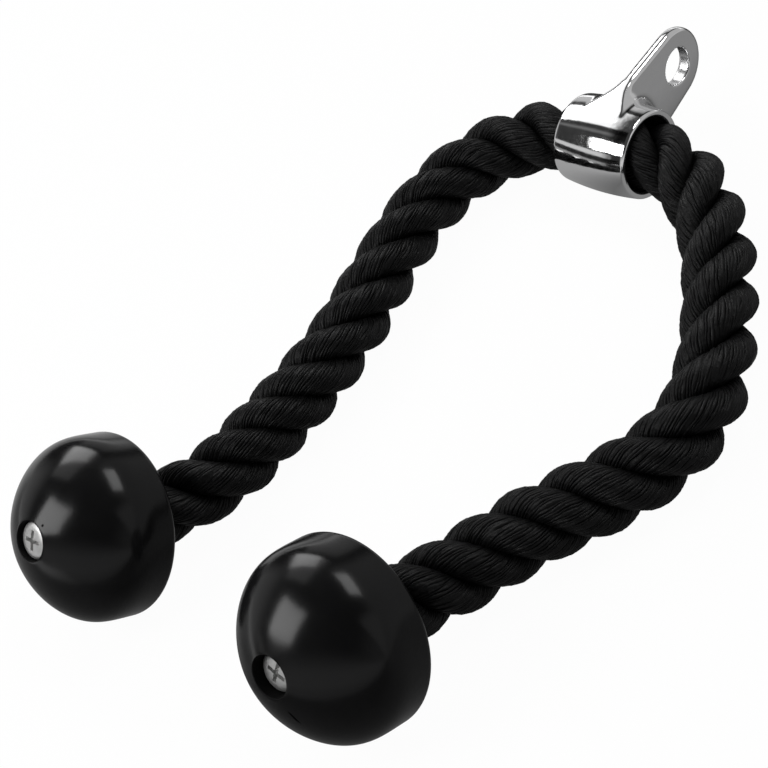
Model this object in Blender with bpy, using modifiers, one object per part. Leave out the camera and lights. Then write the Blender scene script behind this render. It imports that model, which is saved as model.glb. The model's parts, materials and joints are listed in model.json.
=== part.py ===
"""Triceps rope attachment: a chromed hanger, a three-strand rope and two rubber ends.

Metres, +Z up. The rope lies on a table at z = 0. The hanger's barrel runs along X,
its eye points towards +Y, and both rubber ends lie towards -Y.
"""
import math

import bmesh
import bpy
import numpy as np
from mathutils import Matrix, Vector

MM = 0.001

# Clearances
TOUCH_GAP = 0.3 * MM
STRETCH_GAP = 0.5 * MM
SCREW_CLEARANCE = 0.3 * MM
BORE_CLEARANCE = 0.5 * MM
WELD = 0.01 * MM

# Rope: three strands laid right-handed
STRAND_RADIUS = 5.9 * MM
LAY_RADIUS = 9.55 * MM
LAY_START_DEG = 182.0
STRANDS = ("a", "b", "c")
STRAND_POINT_STEP = 6.0 * MM
STRAND_BEVEL_STEPS = 2
STRAND_END_STUB = 0.15 * MM

# Hanger casting: a barrel on the rope, and a flat lug with an eye
BARREL_LENGTH = 38.7 * MM
BARREL_WALL = 4.65 * MM
BARREL_SWELL = 1.2 * MM
RIM_ROUND = 1.4 * MM
MOUTH_ROUND = 2.4 * MM
MOUTH_EASE = 4.8 * MM
LUG_THICKNESS = 6.0 * MM
LUG_FILLET = 8.0 * MM
LUG_EDGE_ROUND = 1.2 * MM
LUG_EDGE_STEPS = 1
LUG_SIDE_STEP = 0.3 * MM
LUG_ROOT_SHARE = 0.7
FILLET_ROOT_SHARE = 0.25
EYE_DISTANCE = 47.2 * MM
EYE_OUTER_RADIUS = 16.8 * MM
EYE_HOLE_RADIUS = 8.4 * MM
EYE_HOLE_ROUND = 1.2 * MM
EYE_TILT_DEG = 5.6

# Rubber end: a short band, then a dome with a screw recess in its crown
END_RADIUS = 38.0 * MM
END_BAND = 16.0 * MM
END_DOME = 29.0 * MM
END_DOME_EXPONENT = 1.6
END_REAR_ROUND = 1.6 * MM
END_ENTRY_ROUND = 4.0 * MM
END_WEB = 5.0 * MM
END_RECESS_RADIUS = 8.4 * MM
END_RECESS_ROUND = 0.8 * MM
END_MOUTH_LEAD = 2.0 * MM
END_BORE_CLEARANCE = 0.6 * MM

# End screw, its washer, and the plug that spreads the rope's end
WASHER_RADIUS = 7.7 * MM
WASHER_THICKNESS = 1.6 * MM
HEAD_RADIUS = 7.4 * MM
HEAD_HEIGHT = 4.0 * MM
HEAD_EDGE = 2.0 * MM
HEAD_SINK = 3.0 * MM
CROSS_WIDTH = 2.2 * MM
CROSS_LENGTH = 8.0 * MM
CROSS_DEPTH = 2.4 * MM
SHANK_RADIUS = 3.0 * MM
SHANK_GRIP = 10.0 * MM
PLUG_WALL = 2.0 * MM
PLUG_TIP_RADIUS = 1.4 * MM
PLUG_CLEARANCE = 0.8 * MM
PLUG_LENGTH = 24.0 * MM
PLUG_TAPER_SHARE = 0.5
PLUG_HOLE_RUNOUT = 1.0 * MM

# Where each rubber end lies: the middle of its rear face, and which way its crown points
LEFT_END_PLACE = (-73.9 * MM, -255.8 * MM)
LEFT_END_TURN_DEG = 1.0
LEFT_END_TIP_DEG = 42.9
RIGHT_END_PLACE = (60.5 * MM, -248.3 * MM)
RIGHT_END_TURN_DEG = 3.8
RIGHT_END_TIP_DEG = 31.9

# The rope's route over the table, from the hanger to each rubber end, as seen from above
LEFT_ROUTE = [
    (-34.0 * MM, -2.8 * MM), (-49.5 * MM, -10.6 * MM), (-60.8 * MM, -22.6 * MM),
    (-66.6 * MM, -38.0 * MM), (-68.4 * MM, -55.5 * MM), (-66.4 * MM, -76.0 * MM),
    (-61.4 * MM, -100.0 * MM), (-55.4 * MM, -128.0 * MM), (-52.6 * MM, -157.0 * MM),
    (-53.7 * MM, -186.0 * MM), (-57.0 * MM, -212.0 * MM),
]
RIGHT_ROUTE = [
    (33.6 * MM, -2.2 * MM), (51.5 * MM, -12.3 * MM), (70.0 * MM, -28.9 * MM),
    (91.2 * MM, -58.3 * MM), (107.8 * MM, -88.0 * MM), (113.8 * MM, -117.5 * MM),
    (103.3 * MM, -147.8 * MM), (85.3 * MM, -176.1 * MM), (70.1 * MM, -206.6 * MM),
]
ROUTE_DROP_SHARES = (0.8, 0.38, 0.08)
ROUTE_SAMPLES_PER_SPAN = 60

# The rope's lay, which is one turn's length, at running lengths along it from the hanger
LAY_MARKS = [
    (-290.0 * MM, 70.0 * MM), (-240.0 * MM, 54.0 * MM), (-180.0 * MM, 69.0 * MM),
    (-120.0 * MM, 75.0 * MM), (-60.0 * MM, 66.5 * MM), (0.0, 67.5 * MM), (70.0 * MM, 75.0 * MM),
    (140.0 * MM, 73.0 * MM), (210.0 * MM, 58.0 * MM), (290.0 * MM, 62.0 * MM),
]

# Stretches of the rope: the middle one just shows at the barrel's mouths, and a bend follows
MIDDLE_SHOWS = 2.0 * MM
BEND_LENGTH = 64.0 * MM

# Turned pieces
ROUND_STEPS = 40
SMALL_STEPS = 24
SWELL_STEPS = 8
ARC_STEPS = 3
FILLET_STEPS = 5
DOME_STEPS = 9
OVERRUN = 2.0 * MM

ROPE_RADIUS = LAY_RADIUS + STRAND_RADIUS
BORE_RADIUS = ROPE_RADIUS + BORE_CLEARANCE
BARREL_RADIUS = BORE_RADIUS + BARREL_WALL
ROPE_HEIGHT = ROPE_RADIUS + TOUCH_GAP
RIM_RADIUS = BARREL_RADIUS - BARREL_SWELL
PLUG_RADIUS = SHANK_RADIUS + PLUG_WALL
SPREAD_LAY_RADIUS = PLUG_RADIUS + STRAND_RADIUS + PLUG_CLEARANCE
SPREAD_LEAN = math.atan2(2 * math.pi * SPREAD_LAY_RADIUS, min(lay for _, lay in LAY_MARKS))
CUT_BACK = STRAND_RADIUS * math.sin(SPREAD_LEAN) + TOUCH_GAP
END_APEX = END_BAND + END_DOME
MIDDLE_LENGTH = BARREL_LENGTH + 2 * MIDDLE_SHOWS
STRAIGHT_LENGTH = BARREL_LENGTH - 2 * MOUTH_EASE

PART_NAME = "triceps_rope_attachment"
CHROME = ("chrome", (0.62, 0.62, 0.64), 0.12, 1.0)
ZINC = ("zinc", (0.60, 0.60, 0.61), 0.35, 1.0)
RUBBER = ("rubber", (0.012, 0.012, 0.013), 0.42, 0.0)
ROPE = ("rope", (0.010, 0.010, 0.011), 0.65, 0.0)
NYLON = ("nylon", (0.75, 0.74, 0.70), 0.5, 0.0)


def clear_scene():
    for obj in list(bpy.data.objects):
        bpy.data.objects.remove(obj, do_unlink=True)


def new_collection(name):
    collection = bpy.data.collections.new(name)
    bpy.context.scene.collection.children.link(collection)
    return collection


def material(finish):
    name, colour, roughness, metallic = finish
    found = bpy.data.materials.get(name)
    if found:
        return found
    made = bpy.data.materials.new(name)
    made.use_nodes = True
    shader = made.node_tree.nodes["Principled BSDF"]
    shader.inputs["Base Color"].default_value = (*colour, 1.0)
    shader.inputs["Roughness"].default_value = roughness
    shader.inputs["Metallic"].default_value = metallic
    return made


def link(obj, collection, finish=None):
    collection.objects.link(obj)
    if finish:
        obj.data.materials.append(material(finish))
    return obj


def empty(name, parent, place):
    made = bpy.data.objects.new(name, None)
    made.empty_display_size = END_RADIUS
    PARTS.objects.link(made)
    made.location = place
    attach(made, parent)
    return made


def attach(obj, parent):
    """Parents obj without moving it."""
    bpy.context.view_layer.update()
    obj.parent = parent
    obj.matrix_parent_inverse = parent.matrix_world.inverted()


def arc(centre_r, centre_z, radius, start_deg, end_deg, steps=ARC_STEPS):
    """Points of a round in a profile, from one angle to another."""
    turns = np.radians(np.linspace(start_deg, end_deg, steps + 1))
    return [(centre_r + radius * math.cos(a), centre_z + radius * math.sin(a)) for a in turns]


def turned(name, profile, collection, finish=None, steps=ROUND_STEPS):
    """A closed profile of (radius, height) turned about Z. It runs down its outer side."""
    mesh = bpy.data.meshes.new(name)
    count = len(profile)
    edges = [(i, (i + 1) % count) for i in range(count)]
    mesh.from_pydata([(r, 0.0, z) for r, z in profile], edges, [])
    obj = link(bpy.data.objects.new(name, mesh), collection, finish)
    screw = obj.modifiers.new("turn", "SCREW")
    screw.steps = steps
    screw.render_steps = steps
    screw.use_merge_vertices = True
    screw.merge_threshold = WELD
    screw.use_smooth_shade = True
    return obj


def cutter(obj):
    obj.hide_render = True
    obj.display_type = "WIRE"
    return obj


def combine(obj, other, operation):
    step = obj.modifiers.new(operation.lower(), "BOOLEAN")
    step.object = other
    step.operation = operation
    step.solver = "EXACT"
    return step


def prism(name, outline, half_height, edge_round=0.0):
    """An upright slab with the given outline, and rounded edges if asked."""
    curve = bpy.data.curves.new(name, "CURVE")
    curve.dimensions = "2D"
    curve.fill_mode = "BOTH"
    curve.extrude = half_height - edge_round
    curve.bevel_depth = edge_round
    curve.bevel_resolution = LUG_EDGE_STEPS
    curve.offset = -edge_round
    spline = curve.splines.new("POLY")
    spline.points.add(len(outline) - 1)
    for point, (x, y) in zip(spline.points, outline):
        point.co = (x, y, 0.0, 1.0)
    spline.use_cyclic_u = True
    drawn = bpy.data.objects.new(name + "_outline", curve)
    CUTTERS.objects.link(drawn)
    bpy.context.view_layer.update()
    graph = bpy.context.evaluated_depsgraph_get()
    mesh = bpy.data.meshes.new_from_object(drawn.evaluated_get(graph))
    work = bmesh.new()
    work.from_mesh(mesh)
    bmesh.ops.remove_doubles(work, verts=work.verts, dist=WELD)
    bmesh.ops.recalc_face_normals(work, faces=work.faces)
    work.to_mesh(mesh)
    work.free()
    mesh.name = name
    obj = bpy.data.objects.new(name, mesh)
    CUTTERS.objects.link(obj)
    obj.matrix_world = drawn.matrix_world
    bpy.data.objects.remove(drawn, do_unlink=True)
    return cutter(obj)


def spline_through(points, start_direction, end_direction):
    """A smooth curve through the points, with its end directions given."""
    points = np.array(points, float)
    chord = np.linalg.norm(np.diff(points, axis=0), axis=1)
    count = len(points)
    system = np.zeros((count, count))
    right = np.zeros((count, 3))
    system[0, 0] = 1.0
    right[0] = start_direction
    system[-1, -1] = 1.0
    right[-1] = end_direction
    for i in range(1, count - 1):
        before, after = chord[i - 1], chord[i]
        system[i, i - 1] = after
        system[i, i] = 2 * (before + after)
        system[i, i + 1] = before
        slope_before = (points[i] - points[i - 1]) / before
        slope_after = (points[i + 1] - points[i]) / after
        right[i] = 3 * (after * slope_before + before * slope_after)
    slopes = np.linalg.solve(system, right)
    made = [points[0]]
    for i in range(count - 1):
        for t in np.linspace(0.0, 1.0, ROUTE_SAMPLES_PER_SPAN + 1)[1:]:
            h = (2 * t**3 - 3 * t**2 + 1, t**3 - 2 * t**2 + t, 3 * t**2 - 2 * t**3, t**3 - t**2)
            made.append(h[0] * points[i] + h[1] * chord[i] * slopes[i]
                        + h[2] * points[i + 1] + h[3] * chord[i] * slopes[i + 1])
    return np.array(made)


def end_profile():
    """The rubber end's section: rear face at height 0, crown at the top."""
    recess_floor = END_APEX - END_MOUTH_LEAD - HEAD_SINK - HEAD_HEIGHT - WASHER_THICKNESS
    bore_end = recess_floor - END_WEB
    hole = SHANK_RADIUS + SCREW_CLEARANCE
    bore = ROPE_RADIUS + END_BORE_CLEARANCE
    wide_bore = SPREAD_LAY_RADIUS + STRAND_RADIUS + END_BORE_CLEARANCE
    points = [(hole, recess_floor), (END_RECESS_RADIUS, recess_floor)]
    mouth = dome_height(END_RECESS_RADIUS + END_RECESS_ROUND)
    points.append((END_RECESS_RADIUS, mouth - END_RECESS_ROUND))
    points.append((END_RECESS_RADIUS + END_RECESS_ROUND, mouth))
    inner = math.asin(min(1.0, (mouth - END_BAND) / END_DOME) ** (END_DOME_EXPONENT / 2))
    for turn in np.linspace(inner, 0.0, DOME_STEPS + 1)[1:]:
        points.append((END_RADIUS * math.cos(turn) ** (2 / END_DOME_EXPONENT),
                       END_BAND + END_DOME * math.sin(turn) ** (2 / END_DOME_EXPONENT)))
    points += arc(END_RADIUS - END_REAR_ROUND, END_REAR_ROUND, END_REAR_ROUND, 0, -90)
    points += arc(bore + END_ENTRY_ROUND, END_ENTRY_ROUND, END_ENTRY_ROUND, 270, 180)
    points.append((bore, bore_end - PLUG_LENGTH))
    points.append((wide_bore, bore_end - PLUG_LENGTH * PLUG_TAPER_SHARE))
    points.append((wide_bore, bore_end))
    points.append((hole, bore_end))
    return points, recess_floor, bore_end


def dome_height(radius):
    """Height of the crown's surface at a radius."""
    share = (radius / END_RADIUS) ** END_DOME_EXPONENT
    return END_BAND + END_DOME * (1.0 - share) ** (1.0 / END_DOME_EXPONENT)


END_SECTION, RECESS_FLOOR, BORE_END = end_profile()


def end_matrix(place, turn_deg, tip_deg):
    """A rubber end's place: its axis leaves the rope's way and tips up, and it rests on the table."""
    turn, tip = math.radians(turn_deg), math.radians(tip_deg)
    axis = Vector((math.sin(turn) * math.cos(tip), -math.cos(turn) * math.cos(tip), math.sin(tip)))
    side = Vector((math.cos(turn), math.sin(turn), 0.0))
    back = axis.cross(side)
    lowest = min(z * math.sin(tip) - r * math.cos(tip) for r, z in END_SECTION)
    matrix = Matrix((side, back, axis)).transposed().to_4x4()
    matrix.translation = (place[0], place[1], -lowest)
    return matrix


ENDS = {
    "left": end_matrix(LEFT_END_PLACE, LEFT_END_TURN_DEG, LEFT_END_TIP_DEG),
    "right": end_matrix(RIGHT_END_PLACE, RIGHT_END_TURN_DEG, RIGHT_END_TIP_DEG),
}


def leg_route(side, points):
    """One leg's centreline, from the middle of the hanger to the rope's cut end."""
    sign = -1.0 if side == "left" else 1.0
    out = np.array((sign, 0.0, 0.0))
    matrix = ENDS[side]
    axis = np.array(matrix.to_3x3().col[2])
    rear = np.array(matrix.translation)
    leaving = out * (STRAIGHT_LENGTH / 2) + (0.0, 0.0, BARREL_RADIUS)
    drop = BARREL_RADIUS - ROPE_HEIGHT
    shares = [*ROUTE_DROP_SHARES, *[0.0] * len(points)]
    through = [leaving]
    through += [(x, y, ROPE_HEIGHT + drop * share) for (x, y), share in zip(points, shares)]
    through.append(rear)
    free = spline_through(through, out, axis)
    straight_in = [out * (STRAIGHT_LENGTH / 2) * t + (0.0, 0.0, BARREL_RADIUS)
                   for t in np.linspace(0.0, 1.0, ROUTE_SAMPLES_PER_SPAN)[:-1]]
    straight_out = [rear + axis * (BORE_END - CUT_BACK) * t
                    for t in np.linspace(0.0, 1.0, ROUTE_SAMPLES_PER_SPAN)[1:]]
    return np.vstack((straight_in, free, straight_out))


class Rope:
    """The rope's centreline with its running length, 0 at the middle of the hanger."""

    def __init__(self):
        left = leg_route("left", LEFT_ROUTE)
        right = leg_route("right", RIGHT_ROUTE)
        self.line = np.vstack((left[::-1], right[1:]))
        steps = np.linalg.norm(np.diff(self.line, axis=0), axis=1)
        self.run = np.concatenate(([0.0], np.cumsum(steps)))
        self.run -= self.run[len(left) - 1]
        self.along = np.gradient(self.line, self.run, axis=0)
        self.along /= np.linalg.norm(self.along, axis=1)[:, None]
        self.across = self.carried_frame()
        self.start, self.end = self.run[0], self.run[-1]
        self.turns = self.laid_turns()

    def carried_frame(self):
        """A direction square to the rope, carried along it without twist."""
        across = [np.array((0.0, 0.0, 1.0))]
        for tangent in self.along:
            carried = across[-1] - tangent * (across[-1] @ tangent)
            across.append(carried / np.linalg.norm(carried))
        del across[0]
        return np.array(across)

    def laid_turns(self):
        """The strands' turns along the rope. The lay opens at the wide bends and closes at the ends."""
        marks, lays = zip(*LAY_MARKS)
        rate = np.interp(self.run, marks, 1 / np.array(lays))
        steps = np.diff(self.run) * (rate[1:] + rate[:-1]) / 2
        turns = np.concatenate(([0.0], np.cumsum(steps)))
        return turns - np.interp(0.0, self.run, turns) + LAY_START_DEG / 360

    def at(self, run, table):
        return np.array([np.interp(run, self.run, table[:, i]) for i in range(3)])

    def lay_radius(self, run):
        """The strands spread inside each rubber end, round the plug."""
        to_bore_end = min(run - self.start, self.end - run) + CUT_BACK
        share = (PLUG_LENGTH - to_bore_end) / (PLUG_LENGTH * (1.0 - PLUG_TAPER_SHARE))
        share = min(1.0, max(0.0, share))
        return LAY_RADIUS + (SPREAD_LAY_RADIUS - LAY_RADIUS) * share * share * (3 - 2 * share)

    def strand_point(self, number, run):
        turn = 2 * math.pi * (np.interp(run, self.run, self.turns) + number / len(STRANDS))
        along = self.at(run, self.along)
        across = self.at(run, self.across)
        other = np.cross(along, across)
        out = across * math.cos(turn) + other * math.sin(turn)
        return self.at(run, self.line) + out * self.lay_radius(run)


def make_strand(rope, number, stretch, start, end, parent):
    """One strand over one stretch of the rope. A short stub at each end sets its cut face square."""
    name = f"rope_strand_{STRANDS[number]}_{stretch}"
    count = max(3, math.ceil((end - start) / STRAND_POINT_STEP) + 1)
    curve = bpy.data.curves.new(name, "CURVE")
    curve.dimensions = "3D"
    curve.bevel_depth = STRAND_RADIUS
    curve.bevel_resolution = STRAND_BEVEL_STEPS
    curve.use_fill_caps = True
    inner = np.linspace(start, end, count)[1:-1]
    runs = [start, start + STRAND_END_STUB, *inner, end - STRAND_END_STUB, end]
    spline = curve.splines.new("POLY")
    spline.points.add(len(runs) - 1)
    spline.use_smooth = True
    for point, run in zip(spline.points, runs):
        point.co = (*rope.strand_point(number, run), 1.0)
    obj = link(bpy.data.objects.new(name, curve), PARTS, ROPE)
    attach(obj, parent)
    return obj


def make_barrel():
    half = BARREL_LENGTH / 2
    outer = RIM_RADIUS - RIM_ROUND
    profile = [(BORE_RADIUS + MOUTH_ROUND, half)]
    profile += arc(outer, half - RIM_ROUND, RIM_ROUND, 90, 0)
    swell = half - RIM_ROUND
    for share in np.linspace(1.0, -1.0, SWELL_STEPS + 1)[1:-1]:
        profile.append((RIM_RADIUS + BARREL_SWELL * (1 - share * share), swell * share))
    profile += arc(outer, -half + RIM_ROUND, RIM_ROUND, 0, -90)
    profile += arc(BORE_RADIUS + MOUTH_ROUND, -half + MOUTH_ROUND, MOUTH_ROUND, 270, 180)
    profile += arc(BORE_RADIUS + MOUTH_ROUND, half - MOUTH_ROUND, MOUTH_ROUND, 180, 90)[:-1]
    return turned("hanger", profile, PARTS, CHROME)


def lug_outline():
    """The lug seen along the barrel: it wraps the eye and runs tangent into the barrel's wall."""
    near = BARREL_RADIUS - LUG_SIDE_STEP
    root = BARREL_RADIUS - BARREL_WALL * LUG_ROOT_SHARE
    lean = math.degrees(math.acos((near - EYE_OUTER_RADIUS) / EYE_DISTANCE))
    outline = arc(EYE_DISTANCE, 0.0, EYE_OUTER_RADIUS, -lean, lean, ROUND_STEPS // 2)
    side = math.radians(lean)
    outline.append((near * math.cos(side), near * math.sin(side)))
    outline += arc(0.0, 0.0, root, lean, -lean, ROUND_STEPS // 2)
    outline.append((near * math.cos(side), -near * math.sin(side)))
    return outline


def make_lug_fillet():
    """The round fillet between the lug's faces and the barrel."""
    half = LUG_THICKNESS / 2 - LUG_EDGE_ROUND
    root = BARREL_RADIUS - BARREL_WALL * FILLET_ROOT_SHARE
    centre = BARREL_RADIUS + LUG_FILLET
    rise = LUG_THICKNESS / 2 + LUG_FILLET
    side = [(root, rise)]
    side += arc(centre, rise, LUG_FILLET, 180, 270, FILLET_STEPS)
    side.append((centre, half))
    profile = side + [(r, -z) for r, z in reversed(side)]
    fillet = cutter(turned("hanger_fillet", profile, CUTTERS))
    slab = prism("hanger_fillet_outline", lug_outline(), rise + OVERRUN)
    combine(fillet, slab, "INTERSECT")
    return fillet


def make_eye_hole():
    half = LUG_THICKNESS / 2
    flare = EYE_HOLE_RADIUS + EYE_HOLE_ROUND
    profile = [(0.0, half + OVERRUN), (flare, half + OVERRUN)]
    profile += arc(flare, half - EYE_HOLE_ROUND, EYE_HOLE_ROUND, 90, 180)
    profile += arc(flare, EYE_HOLE_ROUND - half, EYE_HOLE_ROUND, 180, 270)
    profile += [(flare, -half - OVERRUN), (0.0, -half - OVERRUN)]
    hole = cutter(turned("hanger_eye_hole", profile, CUTTERS))
    hole.location = (EYE_DISTANCE, 0.0, 0.0)
    return hole


def make_hanger(parent):
    hanger = make_barrel()
    lug = prism("hanger_lug", lug_outline(), LUG_THICKNESS / 2, LUG_EDGE_ROUND)
    combine(hanger, lug, "UNION")
    combine(hanger, make_lug_fillet(), "UNION")
    combine(hanger, make_eye_hole(), "DIFFERENCE")
    tilt = math.radians(EYE_TILT_DEG)
    towards_eye = Vector((0.0, math.cos(tilt), math.sin(tilt)))
    along_barrel = Vector((1.0, 0.0, 0.0))
    third = along_barrel.cross(towards_eye)
    matrix = Matrix((towards_eye, third, along_barrel)).transposed().to_4x4()
    matrix.translation = (0.0, 0.0, BARREL_RADIUS)
    hanger.matrix_world = matrix
    attach(hanger, parent)
    for other in CUTTERS.objects:
        if other.name.startswith("hanger") and other.parent is None:
            other.matrix_world = matrix @ other.matrix_world
            attach(other, parent)
    return hanger


def place_on_end(obj, side, height, parent):
    obj.matrix_world = ENDS[side] @ Matrix.Translation((0.0, 0.0, height))
    attach(obj, parent)
    return obj


def make_end(side, parent):
    body = turned(f"{side}_rubber_end", END_SECTION, PARTS, RUBBER)
    place_on_end(body, side, 0.0, parent)

    lift = TOUCH_GAP
    hole = SHANK_RADIUS + SCREW_CLEARANCE
    washer_profile = [(hole, WASHER_THICKNESS), (WASHER_RADIUS, WASHER_THICKNESS),
                      (WASHER_RADIUS, 0.0), (hole, 0.0)]
    washer = turned(f"{side}_washer", washer_profile, PARTS, ZINC, SMALL_STEPS)
    place_on_end(washer, side, RECESS_FLOOR + lift, parent)

    plug_hole_end = -SHANK_GRIP - PLUG_HOLE_RUNOUT
    plug_profile = [(hole, 0.0), (PLUG_RADIUS, 0.0),
                    (PLUG_RADIUS, -PLUG_LENGTH * PLUG_TAPER_SHARE),
                    (PLUG_TIP_RADIUS, -PLUG_LENGTH), (0.0, -PLUG_LENGTH),
                    (0.0, plug_hole_end), (hole, plug_hole_end)]
    plug = turned(f"{side}_rope_plug", plug_profile, PARTS, NYLON, SMALL_STEPS)
    place_on_end(plug, side, BORE_END - lift, parent)

    seat = RECESS_FLOOR + WASHER_THICKNESS + 2 * lift
    shank = seat - BORE_END + SHANK_GRIP
    dome = arc(HEAD_RADIUS - HEAD_EDGE, HEAD_HEIGHT - HEAD_EDGE, HEAD_EDGE, 90, 0)
    screw_profile = [(0.0, HEAD_HEIGHT)] + dome + [(HEAD_RADIUS, 0.0), (SHANK_RADIUS, 0.0),
                                                   (SHANK_RADIUS, -shank), (0.0, -shank)]
    screw = turned(f"{side}_end_screw", screw_profile, PARTS, ZINC, SMALL_STEPS)
    for number, turn in enumerate((0.0, math.pi / 2)):
        bpy.ops.mesh.primitive_cube_add(size=1.0)
        bar = bpy.context.object
        bar.name = f"{side}_cross_bar_{number}"
        bar.data.transform(Matrix.Diagonal((CROSS_LENGTH, CROSS_WIDTH, 2 * CROSS_DEPTH, 1.0)))
        bar.data.transform(Matrix.Rotation(turn, 4, "Z") @ Matrix.Translation((0.0, 0.0, HEAD_HEIGHT)))
        for owner in list(bar.users_collection):
            owner.objects.unlink(bar)
        CUTTERS.objects.link(cutter(bar))
        place_on_end(bar, side, seat, parent)
        combine(screw, bar, "DIFFERENCE")
    place_on_end(screw, side, seat, parent)


def swing_pivot(rope, side):
    """The point about which the leg would have to turn to leave the barrel in a straight line."""
    sign = -1.0 if side == "left" else 1.0
    bend_end = sign * (MIDDLE_LENGTH / 2 + BEND_LENGTH)
    place = rope.at(bend_end, rope.line)
    heading = rope.at(bend_end, rope.along) * sign
    turn = math.atan2(heading[1], heading[0]) - (math.pi if side == "left" else 0.0)
    spin = complex(math.cos(-turn), math.sin(-turn))
    straight = complex(bend_end, 0.0)
    pivot = (straight - spin * complex(place[0], place[1])) / (1.0 - spin)
    return Vector((pivot.real, pivot.imag, BARREL_RADIUS))


def build():
    root = bpy.data.objects.new("attachment_root", None)
    PARTS.objects.link(root)
    make_hanger(root)
    rope = Rope()

    turn_axis = empty("rope_turn_axis", root, (0.0, 0.0, BARREL_RADIUS))
    middle = MIDDLE_LENGTH / 2
    half_gap = STRETCH_GAP / 2
    stretches = [("middle", -middle, middle, turn_axis)]
    for side, sign, cut in (("left", -1.0, rope.start), ("right", 1.0, rope.end)):
        swing = empty(f"{side}_swing_axis", turn_axis, swing_pivot(rope, side))
        marks = (middle, middle + BEND_LENGTH, abs(cut))
        for name, near, far in zip(("bend", "leg"), marks[:-1], marks[1:]):
            low, high = sorted((sign * near, sign * far))
            stretches.append((f"{side}_{name}", low, high, swing))
        make_end(side, swing)
    for name, low, high, parent in stretches:
        first = low if low == rope.start else low + half_gap
        last = high if high == rope.end else high - half_gap
        for number in range(len(STRANDS)):
            make_strand(rope, number, name, first, last, parent)
    return root


def centre_on_table(root):
    """Moves the whole part so that its firm pieces' box stands centred on the origin."""
    bpy.context.view_layer.update()
    graph = bpy.context.evaluated_depsgraph_get()
    low = np.full(3, np.inf)
    high = -low
    for obj in PARTS.objects:
        if obj.type != "MESH":
            continue
        mesh = obj.evaluated_get(graph).to_mesh()
        corners = np.array([obj.matrix_world @ v.co for v in mesh.vertices])
        low = np.minimum(low, corners.min(axis=0))
        high = np.maximum(high, corners.max(axis=0))
    shift = (low + high) / 2
    shift[2] = low[2]
    root.location = -Vector(shift)
    bpy.context.view_layer.update()


clear_scene()
PARTS = new_collection(PART_NAME)
CUTTERS = new_collection("cutters")
centre_on_table(build())
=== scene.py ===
"""Looks of the triceps rope attachment: chromed hanger, laid rope, rubber ends and screws.

Metres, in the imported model's frame: the table is at z = 0, the hanger's barrel runs along X,
its eye points towards +Y, and both rubber ends lie towards -Y.
"""
import json
import math

import bmesh
import bpy
import numpy as np
from mathutils import Matrix, Vector


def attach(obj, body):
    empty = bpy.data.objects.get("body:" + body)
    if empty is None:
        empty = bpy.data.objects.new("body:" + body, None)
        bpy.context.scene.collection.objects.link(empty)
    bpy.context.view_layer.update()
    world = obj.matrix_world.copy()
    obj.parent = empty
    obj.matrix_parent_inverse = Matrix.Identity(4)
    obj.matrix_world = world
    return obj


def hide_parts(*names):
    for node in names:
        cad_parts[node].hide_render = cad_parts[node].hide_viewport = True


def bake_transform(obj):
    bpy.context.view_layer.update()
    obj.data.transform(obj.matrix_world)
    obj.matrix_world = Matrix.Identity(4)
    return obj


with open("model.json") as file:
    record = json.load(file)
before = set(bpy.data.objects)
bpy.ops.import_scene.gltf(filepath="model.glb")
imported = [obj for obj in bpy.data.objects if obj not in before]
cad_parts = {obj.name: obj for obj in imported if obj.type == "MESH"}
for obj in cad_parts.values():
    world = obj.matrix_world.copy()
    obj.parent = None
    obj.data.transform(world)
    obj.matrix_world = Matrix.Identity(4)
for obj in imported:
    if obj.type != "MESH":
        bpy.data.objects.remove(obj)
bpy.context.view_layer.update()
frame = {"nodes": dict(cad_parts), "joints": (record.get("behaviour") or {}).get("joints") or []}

MM = 0.001

# Rope: three strands, each of many yarns
ROPE_RADIUS = 15.45 * MM
LAY_RADIUS = 8.55 * MM
STRAND_RADIUS = 7.0 * MM
LAY_START_DEG = 182.0
MEAN_LAY = 65.0 * MM
SWELL_SHARE = 0.035
STRAND_COUNT = 3
RING_STEP = 1.25 * MM
YARNS = 26
YARN_COLUMNS = 4
YARN_SHOULDER_SHARE = 0.16
YARN_DEPTH = 0.46 * MM
YARN_DEPTH_SPREAD = 0.34 * MM
YARN_TWIST_SHARE = 1.05
YARN_STEP_HEIGHT = 0.10 * MM
YARN_WANDER = 0.12 * MM
YARN_DRIFT_SHARE = 0.34
YARN_WAVES = (41.0 * MM, 19.0 * MM, 11.0 * MM, 6.5 * MM)
YARN_WAVE_SHARES = (0.8, 1.25)
YARN_GAP_LIMIT = 1.2
YARN_DRIFT_LIMIT = 1.0
YARN_SEED = 10

# The rope's ends inside the rubber ends, where the strands spread round a plug
SPREAD_LAY_RADIUS = 11.7 * MM
SPREAD_STRAND_RADIUS = 5.75 * MM
PLUG_LENGTH = 24.0 * MM
PLUG_TAPER_SHARE = 0.5
CUT_BACK = 5.06 * MM

# Hanger casting
BARREL_LENGTH = 38.7 * MM
BARREL_WALL = 4.65 * MM
BARREL_SWELL = 1.2 * MM
BARREL_RADIUS = 20.6 * MM
BORE_RADIUS = 15.95 * MM
RIM_ROUND = 1.4 * MM
MOUTH_ROUND = 2.4 * MM
MOUTH_EASE = 4.8 * MM
LUG_THICKNESS = 6.0 * MM
LUG_FILLET = 8.0 * MM
LUG_EDGE_ROUND = 2.4 * MM
LUG_ROOT_SHARE = 0.7
LUG_SIDE_STEP = 0.1 * MM
EYE_DISTANCE = 47.2 * MM
EYE_OUTER_RADIUS = 16.8 * MM
EYE_HOLE_RADIUS = 8.4 * MM
EYE_HOLE_ROUND = 0.8 * MM
EYE_TILT_DEG = 5.6
EYE_CUTTER_SHARE = 2.0
BORE_BAND = 0.3 * MM
CASTING_VOXEL = 0.32 * MM
CASTING_SMOOTH_ROUNDS = 8
ROOT_SMOOTH_ROUNDS = 70
ROOT_SMOOTH_BLEND = 5.0 * MM
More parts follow.
